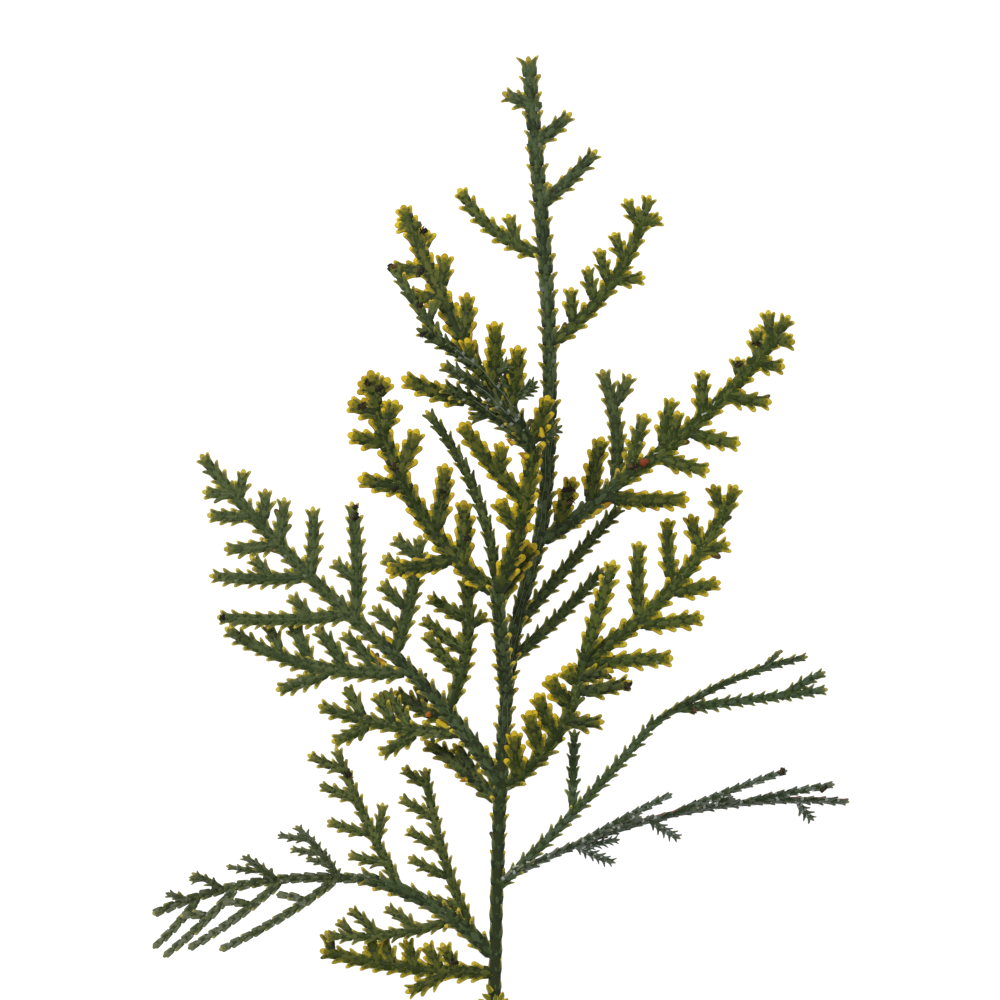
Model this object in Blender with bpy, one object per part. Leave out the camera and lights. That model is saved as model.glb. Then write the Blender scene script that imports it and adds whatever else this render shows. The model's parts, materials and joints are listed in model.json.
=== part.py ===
"""A cut sprig of scale-leaved cedar, lying on a flat surface.

A leader runs up the middle from a flat cut. Boughs leave it on both sides, and each ends in flat sprays of
twigs that are clad in overlapping scale leaves. Every stem and twig is a toothed blade: a flat diamond in
cross-section whose side teeth are the tips of the side leaves. +Z is up, the surface is z = 0, +Y runs
towards the leader's tip, and the origin is the middle of the sprig's footprint.
"""

import math
import random
from collections import namedtuple

import bpy
from mathutils import Vector
from mathutils.bvhtree import BVHTree

MM = 0.001

# Along a twig
STEP = 1.35  # mm: half the way from one pair of side leaves to the next
TOOTH_PITCH = 4.3  # mm: a tooth stands for about one and a half pairs
TWIG_HALF_WIDTH = 0.78  # mm, between the teeth
TOOTH_REACH = 2.2  # of the half width, at a tooth's tip
TWIG_HALF_THICKNESS = 0.5  # mm, at the ridge
TIP_SHARE = 0.8  # of its width that a twig keeps at its tip
TOOTH_LEAN = 1.1  # of the tooth pitch by which a tooth's tip is ahead of its root

# Leader and boughs, as shares of a twig
LEADER_GIRTH = 1.45
BOUGH_GIRTH = 1.2

# How twigs leave their stem
START_ANGLE, END_ANGLE = 54.0, 40.0  # degrees from the stem, at a twig's root and at its tip
ANGLE_SPREAD = 4.0  # degrees either way
LIFT_SPREAD = 5.0  # degrees either way
OTHER_LIFTS = (0, 8, -8, 16, -16, 24, -24)  # degrees more, tried in this order
FORK_AT, FORK_EVERY, FORK_END = 5, 10, 7  # steps to a twig's first small twig, to the next and kept bare
SMALL_TWIG = 4  # steps in a small twig's length
CHILD_THINNER = 0.93  # keeps a twig's ridge below its stem's, so that they fuse cleanly
CLEARANCE = 0.32  # mm between two nodes
SEED = 7

# Base colour and roughness of what a node is clad in, by the first of these words in its name
FINISHES = {
    "leader": ("stem_scales", (0.035, 0.075, 0.03), 0.5),
    "bough": ("bough_scales", (0.04, 0.09, 0.032), 0.5),
    "front": ("amber_edged_scales", (0.1, 0.13, 0.02), 0.45),
    "lower": ("blue_green_scales", (0.07, 0.13, 0.07), 0.55),
    "": ("green_scales", (0.055, 0.12, 0.035), 0.5),
}

# One stem: its node, or node/stem where it is fused into another stem's node; the stem that bears it and
# the share of that stem's length at which it leaves; its tip in mm; how far it bows to its left and
# upwards in mm; how far its left and right twigs are lifted, in degrees; its side twigs; and how much wider
# than others those on its left and right stand off, in degrees. Each character of the side twigs is one
# step along the stem from its base: a digit or letter is a twig as many steps long, with a for ten, and a
# capital is a twig that bears small twigs of its own.
Stem = namedtuple(
    "Stem", "name parent at tip bow lift left right wider", defaults=((0, 0), (0, 0), "", "", (0, 0))
)

LEADER_ROUTE = ((-1, -81, 4), (0, -46, 12), (2.2, -19, 16), (7.4, 3, 15), (8.3, 34, 11), (4.8, 80.6, 2.5))
LEADER = Stem(
    "leader", "", 0, LEADER_ROUTE[-1], left="." * 116 + "4", right="." * 103 + "a......." + "6", wider=(14, 7)
)

BOUGHS = (
    Stem("left_bough", "leader", 0.235, (-19.7, -19.7, 14), (-1, 1)),
    Stem("right_high_bough", "leader", 0.49, (20, 8, 14), (-0.5, 0.5), (0, 0),
         "...7....9", "..........b", (-6, -3)),
    Stem("right_mid_bough", "leader", 0.23, (14.2, -22.2, 15), (-3, 1), (10, 0),
         "...6...6..6...5..3", "............5...7.4", (12, 18)),
    Stem("front_bough", "leader", 0.33, (-0.5, -11, 24), (0, 1.5)),
    Stem("front_upper_bough", "front_bough", 1, (5.5, 13, 31), (-1, 1), (0, 0), ".........5...D"),
    Stem("lower_right_bough", "leader", 0.125, (26, -33, 10), (-0.6, 1)),
    Stem("lower_left_bough", "leader", 0.05, (-22.1, -59.5, 9), (-2, 0)),
)

SPRAYS = (
    # left
    Stem("left_spray", "left_bough", 1, (-51, 12.8, 0.8), (1, 2), (0, 0),
         "......H......D.....7....6...4", ".....F.......9.....6..5....4"),
    Stem("left_inner_spray", "left_bough", 0.5, (-6.1, -8, 12), (-1.9, 0), (0, 0),
         ".....7..7...6", "...........3...3", (12, 0)),
    Stem("left_middle_spray", "left_bough", 0.92, (-13.6, -1, 12), (-0.6, 1), (0, 0),
         "...5..5...5..4", wider=(13, 0)),
    Stem("left_outer_spray", "left_bough", 0.8, (-46.8, -16.7, 3), (2.9, 2), (-8, 0),
         "..........8", "....7...7....7...5", (-20, 0)),
    Stem("left_lower_spray", "left_bough", 0.34, (-30.9, -29.9, 8), (1, 1), (-8, 0),
         "......6.....6", ".......6.5...5", (-12, 0)),
    Stem("left_under_twig", "left_bough", 0.42, (-18, -27.5, 8), (0.5, 0), (0, 0), "", ".....5"),
    Stem("left_low_twig", "leader", 0.215, (-12.8, -36, 7), (-0.5, 0), (0, 0), "", "....6", (0, -34)),
    # right
    Stem("right_high_spray", "right_high_bough", 1, (49.3, 36.5, 0.8), (-2.2, 2), (0, 0),
         "..8....7.4....6......3...4..4", "......7....7......6.....4...3", (-3, 5)),
    Stem("right_high_back_spray", "right_high_bough", 0.95, (17.3, 27.3, 6), (-1.4, -1), (0, 0),
         "", "...........5", (0, -8)),
    Stem("right_mid_spray", "right_mid_bough", 1, (40.3, 7.6, 3), (-3.2, 1.5), (0, 0),
         ".........a.....9.....5.....4", "........9.....7......4", (-1, -10)),
    Stem("right_mid_low_twig", "right_mid_bough", 0.97, (29.4, -21.8, 12), (0.2, 0)),
    Stem("right_mid_twig", "right_mid_bough", 0.97, (19.3, -5.2, 18), (0, 0)),
    Stem("right_back_spray", "leader", 0.4, (20.7, 4.2, 2.5), (0.1, 0)),
    Stem("right_back_low_spray", "leader", 0.365, (17.7, -6.5, 1.5), (-0.5, 0)),
    # front
    Stem("front_left_spray", "front_bough", 1, (-22, 27, 20), (4.6, 0), (6, 0),
         ".......9..........6.....5...4..2", "......8....9........6.....4...3", (8, 0)),
    Stem("front_middle_spray", "front_bough", 0.97, (-12.6, 20.3, 22), (-2.9, 1)),
    Stem("front_right_twig", "front_bough", 0.93, (6, -2.5, 23), (0.5, 0)),
    Stem("front_fan_spray", "front_upper_bough", 1, (-14, 34, 40), (-3, 1), (0, 0),
         "", ".7.....8...8...3", (0, -4)),
    Stem("front_fan_spray/middle", "front_fan_spray", 0.06, (-10, 28, 41), (-1.5, 0)),
    Stem("front_fan_spray/low", "front_fan_spray", 0.03, (-10, 24.5, 37), (-1, 0), (0, 0), ".......3"),
    Stem("front_fan_spray/outer", "front_fan_spray/low", 0.7, (-16.5, 25.8, 36), (0.5, 0)),
    Stem("top_left_spray", "front_fan_spray", 0.6, (-16.5, 55, 26), (0.4, 2), (0, 0),
         "..........4...5......2", "....6......5.....3", (12, -14)),
    Stem("top_left_twig", "front_fan_spray", 0.85, (-18.5, 45, 35), (0, 0), (0, 0), "", "...3"),
    # lower right
    Stem("lower_right_upper_spray", "lower_right_bough", 1, (52.4, -21.6, 4), (1.5, 1), (60, -30),
         "................4", "", (12, 0)),
    Stem("lower_right_upper_spray/low", "lower_right_upper_spray", 0.15, (55.8, -27.2, 0.8), (0, 0), (0, 0),
         "...............6", "", (-22, 0)),
    Stem("lower_right_twig", "lower_right_bough", 0.47, (12.7, -34, 5), (0.1, 0)),
    Stem("lower_right_long_spray", "leader", 0.13, (59.5, -46.4, 0.8), (4.8, 3), (70, -30),
         "............E...........G........c", "...........6.........5..................4", (-25, 0)),
    # lower left
    Stem("lower_left_spray", "lower_left_bough", 1, (-59.2, -65.5, 1), (-2.6, 2), (25, 45),
         "....I......F.....D....9", "....b.......6......5....3", (-14, 12)),
    Stem("lower_left_upper_spray", "lower_left_bough", 0.78, (-28, -37.1, 4), (0.5, 0), (0, 0),
         "....5...6....5...5", ".......5", (0, -14)),
    Stem("lower_left_inner_spray", "lower_left_bough", 0.2, (-12.8, -40.5, 4), (1.2, 0), (0, 0),
         "....5...6...5...5...4"),
    Stem("lower_left_low_spray", "lower_left_bough", 0.38, (-29.8, -69.1, 3), (1.2, 0), (0, 0),
         "", ".....5....5..3"),
    Stem("bottom_left_spray", "leader", 0.035, (-30.6, -71.7, 0.8), (1, 1), (0, 0),
         "......6", ".....4.4..4..4.4.....3", (-20, 12)),
    # top
    Stem("upper_left_twig", "leader", 0.79, (-7, 58.1, 4), (1.9, 0), (0, 0), "", "....4"),
    Stem("upper_right_spray", "leader", 0.695, (25.5, 57, 3), (-2.9, 1), (0, 0),
         "....5...5..5...4....4", "............4.......3"),
)


class Path:
    """A smooth line through samples; the flat side of a blade along it faces `up`. Lengths are in mm."""

    def __init__(self, points, up):
        self.points, self.up = points, up
        self.reached = [0.0]
        for a, b in zip(points, points[1:]):
            self.reached.append(self.reached[-1] + (b - a).length)
        self.length = self.reached[-1]

    def frame(self, distance):
        """The place at a distance along the line, with the directions ahead, to the left and up."""
        i, last = 0, len(self.points) - 2
        while i < last and self.reached[i + 1] < distance:
            i += 1
        step = self.points[i + 1] - self.points[i]
        place = self.points[i] + step * ((distance - self.reached[i]) / step.length)
        ahead = step.normalized()
        left = self.up.cross(ahead).normalized()
        return place, ahead, left, ahead.cross(left)


def pulled(start, pull, tip, up, steps=16):
    """A parabola from start to tip that sets off and arrives in line with the point `pull`."""
    shares = [k / steps for k in range(steps + 1)]
    return Path([start * (1 - t) ** 2 + pull * 2 * t * (1 - t) + tip * t**2 for t in shares], up)


def through(route, up, steps=8):
    """A Catmull-Rom curve through the route's points."""
    ends = [route[0] * 2 - route[1], *route, route[-1] * 2 - route[-2]]
    points = [route[0]]
    for p, a, b, q in zip(ends, ends[1:], ends[2:], ends[3:]):
        for t in (k / steps for k in range(1, steps + 1)):
            square, cube = (p * 2 - a * 5 + b * 4 - q) * t**2, (a * 3 - p - b * 3 + q) * t**3
            points.append((a * 2 + (b - p) * t + square + cube) / 2)
    return Path(points, up)


def blade(path, start, girth, swell=0.0):
    """Vertices and faces of a toothed blade along a path, from a distance on, grown by `swell` all round.

    Ring k has its left root, top ridge, right root and under ridge, and then the left and right teeth's
    tips. Each tooth is a fan of three triangles on each face, from the ridge.
    """
    stretch = path.length - start
    teeth = max(1, round(stretch / TOOTH_PITCH - 0.5))
    pitch = stretch / (teeth + 0.5)
    verts = []
    for k in range(teeth + 1):
        share = girth * (1 - (1 - TIP_SHARE) * k / teeth)
        half, thick = TWIG_HALF_WIDTH * share + swell, TWIG_HALF_THICKNESS * share + swell
        place, ahead, left, up = path.frame(start + pitch * k)
        place = place - ahead * (swell if k == 0 else 0)
        verts += [place + left * half, place + up * thick, place - left * half, place - up * thick]
        if k < teeth:
            place, _, left, _ = path.frame(start + pitch * (k + TOOTH_LEAN))
            wide = TWIG_HALF_WIDTH * share * TOOTH_REACH + swell
            verts += [place + left * wide, place - left * wide]
    place, ahead, _, _ = path.frame(path.length)
    verts.append(place + ahead * swell)

    faces = [(3, 2, 1, 0)]
    for k in range(teeth):
        for ridge, root, tip, flip in ((1, 0, 4, 1), (3, 0, 4, -1), (1, 2, 5, -1), (3, 2, 5, 1)):
            ridge, root, tip = 6 * k + ridge, 6 * k + root, 6 * k + tip
            fan = (ridge, ridge + 6, root + 6), (ridge, root + 6, tip), (ridge, tip, root)
            faces += [face[::flip] for face in fan]
    ring, apex = 6 * teeth, 6 * teeth + 4
    faces += [(ring + k, ring + (k + 1) % 4, apex) for k in range(4)]
    return verts, faces


class Sprig:
    """Lays the stems one after another, each clear of the nodes that are there already."""

    def __init__(self):
        self.paths, self.girths, self.blades = {}, {}, {}
        self.trees = []

    def clear(self, path, start, girth, node):
        swollen = BVHTree.FromPolygons(*blade(path, start, girth, CLEARANCE))
        return not any(other != node and tree.overlap(swollen) for other, tree in self.trees)

    def keep(self, node, shape):
        self.blades.setdefault(node, []).append(shape)
        self.trees.append((node, BVHTree.FromPolygons(*shape)))

    def side_twig(self, node, key, path, at, side, size, lift, wider, girth):
        """A twig as many steps long as its size that curves forward, lifted more or less to clear other nodes.

        Its key, unlike any other twig's, seeds its spread. It is left out where no lift clears them.
        """
        rng = random.Random(f"{SEED} {key}")
        place, ahead, left, up = path.frame(at * STEP)
        turn = wider + rng.uniform(-ANGLE_SPREAD, ANGLE_SPREAD)
        lift += rng.uniform(-LIFT_SPREAD, LIFT_SPREAD)
        length = int(size, 36)
        half = length * STEP / 2
        for more in OTHER_LIFTS:
            rise = math.radians(lift + more)
            out = left * side * math.cos(rise) + up * math.sin(rise)
            face = up * math.cos(rise) - left * side * math.sin(rise)
            first, then = (math.radians(angle + turn) for angle in (START_ANGLE, END_ANGLE))
            pull = place + (ahead * math.cos(first) + out * math.sin(first)) * half
            tip = pull + (ahead * math.cos(then) + out * math.sin(then)) * half
            twig = pulled(place, pull, tip, face)
            if tip.z > CLEARANCE and self.clear(twig, 0, girth, node):
                break
        else:
            return
        self.keep(node, blade(twig, 0, girth))
        if size.isupper():
            for k in range(FORK_AT, length - FORK_END, FORK_EVERY):
                small = f"{key}.{k}", twig, k, -side, str(SMALL_TWIG)
                self.side_twig(node, *small, 0, 0, girth * CHILD_THINNER)

    def side_twigs(self, stem, path, start, girth):
        node = stem.name.split("/")[0]
        lift = sum(stem.lift) / 2
        rows = (1, "left", stem.left, stem.wider[0]), (-1, "right", stem.right, stem.wider[1])
        for side, row, sizes, wider in rows:
            for k, size in enumerate(sizes):
                if size != "." and start < k * STEP < path.length:
                    twig = f"{stem.name} {row} {k}", path, k, side, size
                    self.side_twig(node, *twig, lift, wider, girth * CHILD_THINNER)

    def lay(self, stem, girth):
        """One stem of the tables, from its parent's middle line where it is fused to it, or clear of it."""
        node = stem.name.split("/")[0]
        parent = self.paths[stem.parent]
        start, tip = parent.frame(stem.at * parent.length)[0], Vector(stem.tip)
        chord = tip - start
        left = Vector((0, 0, 1)).cross(chord).normalized()
        level = chord.cross(left).normalized()
        roll = math.radians(stem.lift[0] - stem.lift[1]) / 2
        up = level * math.cos(roll) - left * math.sin(roll)
        pull = (start + tip) / 2 + (left * stem.bow[0] + level * stem.bow[1]) * 2
        path = pulled(start, pull, tip, up)
        begin = 0
        if stem.name == node:
            while not self.clear(path, begin, girth, node):
                begin += CLEARANCE / 2
                if begin > path.length / 2:
                    raise ValueError(f"{node} has no clear place")
        self.paths[stem.name] = path
        self.keep(node, blade(path, begin, girth))
        self.side_twigs(stem, path, begin, girth)

    def lay_leader(self):
        path = through([Vector(point) for point in LEADER_ROUTE], Vector((0, 0, 1)))
        self.paths["leader"] = path
        self.keep("leader", blade(path, 0, LEADER_GIRTH))
        self.side_twigs(LEADER, path, 0, 1)


def mesh_object(name, shape, collection):
    verts, faces = shape
    mesh = bpy.data.meshes.new(name)
    mesh.from_pydata([v * MM for v in verts], [], faces)
    made = bpy.data.objects.new(name, mesh)
    collection.objects.link(made)
    return made


def fused(name, shapes):
    """One closed solid from blades that run into each other."""
    scene = bpy.context.scene.collection
    whole = mesh_object(name, shapes[0], scene)
    if len(shapes) == 1:
        return whole
    twigs = bpy.data.collections.new(name + "_twigs")
    scene.children.link(twigs)
    for shape in shapes[1:]:
        mesh_object(name + "_twig", shape, twigs)
    union = whole.modifiers.new("Fuse", "BOOLEAN")
    union.operation, union.solver = "UNION", "EXACT"
    union.operand_type, union.collection = "COLLECTION", twigs
    joined = bpy.data.meshes.new_from_object(whole.evaluated_get(bpy.context.evaluated_depsgraph_get()))
    whole.modifiers.remove(union)
    whole.data = joined
    for twig in list(twigs.objects):
        bpy.data.objects.remove(twig)
    bpy.data.collections.remove(twigs)
    return whole


def finish(node):
    """The Principled material of a node, shared with the others of its kind."""
    name, colour, roughness = next(kind for word, kind in FINISHES.items() if word in node)
    if name not in bpy.data.materials:
        made = bpy.data.materials.new(name)
        made.use_nodes = True
        surface = made.node_tree.nodes["Principled BSDF"]
        surface.inputs["Base Color"].default_value = (*colour, 1)
        surface.inputs["Roughness"].default_value = roughness
        surface.inputs["Metallic"].default_value = 0
    return bpy.data.materials[name]


def main():
    for old in list(bpy.data.objects):
        bpy.data.objects.remove(old)
    sprig = Sprig()
    sprig.lay_leader()
    for stem in BOUGHS:
        sprig.lay(stem, BOUGH_GIRTH)
    for stem in SPRAYS:
        sprig.lay(stem, 1)
    for node, shapes in sprig.blades.items():
        solid = fused(node, shapes)
        solid.data.materials.clear()
        solid.data.materials.append(finish(node))


main()
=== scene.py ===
"""The looks of a cut sprig of scale-leaved cedar, lying on a pale floor.

Each stem of the frame is grown again by the same rule, and clad in single scale leaves: at every node of a
twig there is a pair of side leaves, whose tips stand out as teeth, and a pair of flat leaves on its faces.
Lengths are in mm until a mesh is made. +Z is up and the floor is z = 0.
"""

import json
import math
import random
from collections import namedtuple

import bpy
import numpy as np
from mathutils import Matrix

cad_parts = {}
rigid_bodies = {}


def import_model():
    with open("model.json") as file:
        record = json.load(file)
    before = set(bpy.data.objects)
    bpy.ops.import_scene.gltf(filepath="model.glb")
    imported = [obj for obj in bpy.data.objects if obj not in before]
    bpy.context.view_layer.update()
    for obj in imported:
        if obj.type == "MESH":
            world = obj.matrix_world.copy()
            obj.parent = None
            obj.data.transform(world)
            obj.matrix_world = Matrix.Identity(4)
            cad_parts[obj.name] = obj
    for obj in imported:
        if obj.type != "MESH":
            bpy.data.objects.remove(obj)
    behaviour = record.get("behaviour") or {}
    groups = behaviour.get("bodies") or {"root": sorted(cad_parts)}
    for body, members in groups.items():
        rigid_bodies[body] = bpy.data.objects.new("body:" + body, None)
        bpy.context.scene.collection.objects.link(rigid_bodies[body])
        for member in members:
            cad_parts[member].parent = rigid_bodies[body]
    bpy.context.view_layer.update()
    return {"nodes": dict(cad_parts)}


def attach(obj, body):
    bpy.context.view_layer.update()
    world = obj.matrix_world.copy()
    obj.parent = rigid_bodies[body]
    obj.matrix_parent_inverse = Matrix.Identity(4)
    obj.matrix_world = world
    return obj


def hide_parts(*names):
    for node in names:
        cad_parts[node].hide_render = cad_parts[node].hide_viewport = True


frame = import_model()

MM = 0.001

# Along a twig, as in the solids
STEP = 1.35  # mm: half the way from one pair of side leaves to the next
START_ANGLE, END_ANGLE = 54.0, 40.0  # degrees from the stem, at a twig's root and at its tip
ANGLE_SPREAD = 4.0  # degrees either way
LIFT_SPREAD = 5.0  # degrees either way
FORK_AT, FORK_EVERY, FORK_END = 5, 10, 7  # steps to a twig's first small twig, to the next and kept bare
SMALL_TWIG = 4  # steps in a small twig's length
SEED = 7

# One stem: its node, or node/stem where it is fused into another stem's node; the stem that bears it and
# the share of that stem's length at which it leaves; its tip in mm; how far it bows to its left and
# upwards in mm; how far its left and right twigs are lifted, in degrees; its side twigs; and how much wider
# than others these stand off, in degrees. Each character of the side twigs is one step along the stem: a
# digit or letter is a twig as many steps long, with a for ten, and a capital bears small twigs of its own.
Stem = namedtuple(
    "Stem", "name parent at tip bow lift left right wider", defaults=((0, 0), (0, 0), "", "", (0, 0))
)

LEADER_ROUTE = ((-1, -81, 4), (0, -46, 12), (2.2, -19, 16), (7.4, 3, 15), (8.3, 34, 11), (4.8, 80.6, 2.5))
LEADER = Stem(
    "leader", "", 0, LEADER_ROUTE[-1], left="." * 116 + "4", right="." * 103 + "a......." + "6", wider=(14, 7)
)

BOUGHS = [Stem(*row) for row in (
    ("left_bough", "leader", 0.235, (-19.7, -19.7, 14), (-1, 1)),
    ("right_high_bough", "leader", 0.49, (20, 8, 14), (-0.5, 0.5), (0, 0),
     "...7....9", "..........b", (-6, -3)),
    ("right_mid_bough", "leader", 0.23, (14.2, -22.2, 15), (-3, 1), (10, 0),
     "...6...6..6...5..3", "............5...7.4", (12, 18)),
    ("front_bough", "leader", 0.33, (-0.5, -11, 24), (0, 1.5)),
    ("front_upper_bough", "front_bough", 1, (5.5, 13, 31), (-1, 1), (0, 0), ".........5...D"),
    ("lower_right_bough", "leader", 0.125, (26, -33, 10), (-0.6, 1)),
    ("lower_left_bough", "leader", 0.05, (-22.1, -59.5, 9), (-2, 0)),
)]

SPRAYS = [Stem(*row) for row in (
    # left
    ("left_spray", "left_bough", 1, (-51, 12.8, 0.8), (1, 2), (0, 0),
     "......H......D.....7....6...4", ".....F.......9.....6..5....4"),
    ("left_inner_spray", "left_bough", 0.5, (-6.1, -8, 12), (-1.9, 0), (0, 0),
     ".....7..7...6", "...........3...3", (12, 0)),
    ("left_middle_spray", "left_bough", 0.92, (-13.6, -1, 12), (-0.6, 1), (0, 0),
     "...5..5...5..4", "", (13, 0)),
    ("left_outer_spray", "left_bough", 0.8, (-46.8, -16.7, 3), (2.9, 2), (-8, 0),
     "..........8", "....7...7....7...5", (-20, 0)),
    ("left_lower_spray", "left_bough", 0.34, (-30.9, -29.9, 8), (1, 1), (-8, 0),
     "......6.....6", ".......6.5...5", (-12, 0)),
    ("left_under_twig", "left_bough", 0.42, (-18, -27.5, 8), (0.5, 0), (0, 0), "", ".....5"),
    ("left_low_twig", "leader", 0.215, (-12.8, -36, 7), (-0.5, 0), (0, 0), "", "....6", (0, -34)),
    # right
    ("right_high_spray", "right_high_bough", 1, (49.3, 36.5, 0.8), (-2.2, 2), (0, 0),
     "..8....7.4....6......3...4..4", "......7....7......6.....4...3", (-3, 5)),
    ("right_high_back_spray", "right_high_bough", 0.95, (17.3, 27.3, 6), (-1.4, -1), (0, 0),
     "", "...........5", (0, -8)),
    ("right_mid_spray", "right_mid_bough", 1, (40.3, 7.6, 3), (-3.2, 1.5), (0, 0),
     ".........a.....9.....5.....4", "........9.....7......4", (-1, -10)),
    ("right_mid_low_twig", "right_mid_bough", 0.97, (29.4, -21.8, 12), (0.2, 0)),
    ("right_mid_twig", "right_mid_bough", 0.97, (19.3, -5.2, 18), (0, 0)),
    ("right_back_spray", "leader", 0.4, (20.7, 4.2, 2.5), (0.1, 0)),
    ("right_back_low_spray", "leader", 0.365, (17.7, -6.5, 1.5), (-0.5, 0)),
    # front
    ("front_left_spray", "front_bough", 1, (-22, 27, 20), (4.6, 0), (6, 0),
     ".......9..........6.....5...4..2", "......8....9........6.....4...3", (8, 0)),
    ("front_middle_spray", "front_bough", 0.97, (-12.6, 20.3, 22), (-2.9, 1)),
    ("front_right_twig", "front_bough", 0.93, (6, -2.5, 23), (0.5, 0)),
    ("front_fan_spray", "front_upper_bough", 1, (-14, 34, 40), (-3, 1), (0, 0),
     "", ".7.....8...8...3", (0, -4)),
    ("front_fan_spray/middle", "front_fan_spray", 0.06, (-10, 28, 41), (-1.5, 0)),
    ("front_fan_spray/low", "front_fan_spray", 0.03, (-10, 24.5, 37), (-1, 0), (0, 0), ".......3"),
    ("front_fan_spray/outer", "front_fan_spray/low", 0.7, (-16.5, 25.8, 36), (0.5, 0)),
    ("top_left_spray", "front_fan_spray", 0.6, (-16.5, 55, 26), (0.4, 2), (0, 0),
     "..........4...5......2", "....6......5.....3", (12, -14)),
    ("top_left_twig", "front_fan_spray", 0.85, (-18.5, 45, 35), (0, 0), (0, 0), "", "...3"),
    # lower right
    ("lower_right_upper_spray", "lower_right_bough", 1, (52.4, -21.6, 4), (1.5, 1), (60, -30),
     "................4", "", (12, 0)),
    ("lower_right_upper_spray/low", "lower_right_upper_spray", 0.15, (55.8, -27.2, 0.8), (0, 0), (0, 0),
     "...............6", "", (-22, 0)),
    ("lower_right_twig", "lower_right_bough", 0.47, (12.7, -34, 5), (0.1, 0)),
    ("lower_right_long_spray", "leader", 0.13, (59.5, -46.4, 0.8), (4.8, 3), (70, -30),
     "............E...........G........c", "...........6.........5..................4", (-25, 0)),
    # lower left
    ("lower_left_spray", "lower_left_bough", 1, (-59.2, -65.5, 1), (-2.6, 2), (25, 45),
     "....I......F.....D....9", "....b.......6......5....3", (-14, 12)),
    ("lower_left_upper_spray", "lower_left_bough", 0.78, (-28, -37.1, 4), (0.5, 0), (0, 0),
     "....5...6....5...5", ".......5", (0, -14)),
    ("lower_left_inner_spray", "lower_left_bough", 0.2, (-12.8, -40.5, 4), (1.2, 0), (0, 0),
     "....5...6...5...5...4"),
    ("lower_left_low_spray", "lower_left_bough", 0.38, (-29.8, -69.1, 3), (1.2, 0), (0, 0),
     "", ".....5....5..3"),
    ("bottom_left_spray", "leader", 0.035, (-30.6, -71.7, 0.8), (1, 1), (0, 0),
     "......6", ".....4.4..4..4.4.....3", (-20, 12)),
    # top
    ("upper_left_twig", "leader", 0.79, (-7, 58.1, 4), (1.9, 0), (0, 0), "", "....4"),
    ("upper_right_spray", "leader", 0.695, (25.5, 57, 3), (-2.9, 1), (0, 0),
     "....5...5..5...4....4", "............4.......3"),
)]

# Small twigs that the solids leave out, by the twig that bears them: each one's step, side (1 is left) and
# length in steps
FINER = {
    "lower_left_spray right 4": ((3, 1, "3"), (5, 1, "4"), (8, 1, "4")),
    "lower_left_spray right 12": ((2, 1, "5"),),
    "lower_left_spray right 19": ((3, 1, "2"),),
    "lower_right_long_spray right 11": ((1, 1, "5"),),
    "front_fan_spray right 1": ((1, -1, "4"),),
    "front_fan_spray right 7": ((1, -1, "4"), (2, 1, "3")),
    "front_fan_spray right 11": ((1, -1, "3"),),
}
# Twigs that lie flat, although their spray stands on edge
FLAT_TWIGS = "lower_right_long_spray left"

# Each order of stem: the size of its leaves, and how far apart their pairs stand in mm
ORDERS = {
    "leader": (1.16, 3), "bough": (1.16, 2.9), "axis": (1.1, 2.75), "twig": (1.04, 2.5), "small": (0.98, 2.3)
}


# ---------------- paths

UP = np.array([0.0, 0.0, 1.0])
ROUTE_STEPS = 8  # samples from one point of a route to the next
BOW_STEPS = 16  # samples along a bowed stem


def unit(vectors):
    """The vectors, each at a length of one."""
    return vectors / np.linalg.norm(vectors, axis=-1, keepdims=True)


class Path:
    """A line through samples; a twig's flat side along it faces `up`."""

    def __init__(self, points, up):
        self.points, self.up = np.asarray(points, float), np.asarray(up, float)
        steps = np.diff(self.points, axis=0)
        self.reached = np.concatenate([[0.0], np.cumsum(np.linalg.norm(steps, axis=1))])
        self.length = self.reached[-1]

    def frames(self, distances):
        """Places at distances along the line, and the directions ahead, to the left and up there."""
        distances = np.asarray(distances, float)
        place = np.stack([np.interp(distances, self.reached, axis) for axis in self.points.T], -1)
        tangents = unit(np.gradient(self.points, self.reached, axis=0))
        ahead = unit(np.stack([np.interp(distances, self.reached, axis) for axis in tangents.T], -1))
        left = unit(np.cross(self.up, ahead))
        beyond = (distances - np.clip(distances, 0, self.length))[..., None]
        return place + ahead * beyond, ahead, left, np.cross(ahead, left)


def pulled(start, pull, tip, up):
    """A parabola from start to tip, both of whose ends are in line with the point `pull`."""
    t = np.linspace(0, 1, BOW_STEPS + 1)[:, None]
    return Path(start * (1 - t) ** 2 + pull * 2 * t * (1 - t) + tip * t**2, up)


def through(route, up):
    """A Catmull-Rom curve through the route's points."""
    route = np.array(route, float)
    ends = np.vstack([route[0] * 2 - route[1], route, route[-1] * 2 - route[-2]])
    p, a, b, q = (ends[k : len(ends) - 3 + k, None] for k in range(4))
    t = (np.arange(1, ROUTE_STEPS + 1) / ROUTE_STEPS)[None, :, None]
    square, cube = (p * 2 - a * 5 + b * 4 - q) * t**2, (a * 3 - p - b * 3 + q) * t**3
    return Path(np.vstack([route[:1], ((a * 2 + (b - p) * t + square + cube) / 2).reshape(-1, 3)]), up)


# ---------------- growth

# One leafy shoot: its node, its own name, its path, its order of stem and whether it ends in a tip
Shoot = namedtuple("Shoot", "node key path order tipped")


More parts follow.
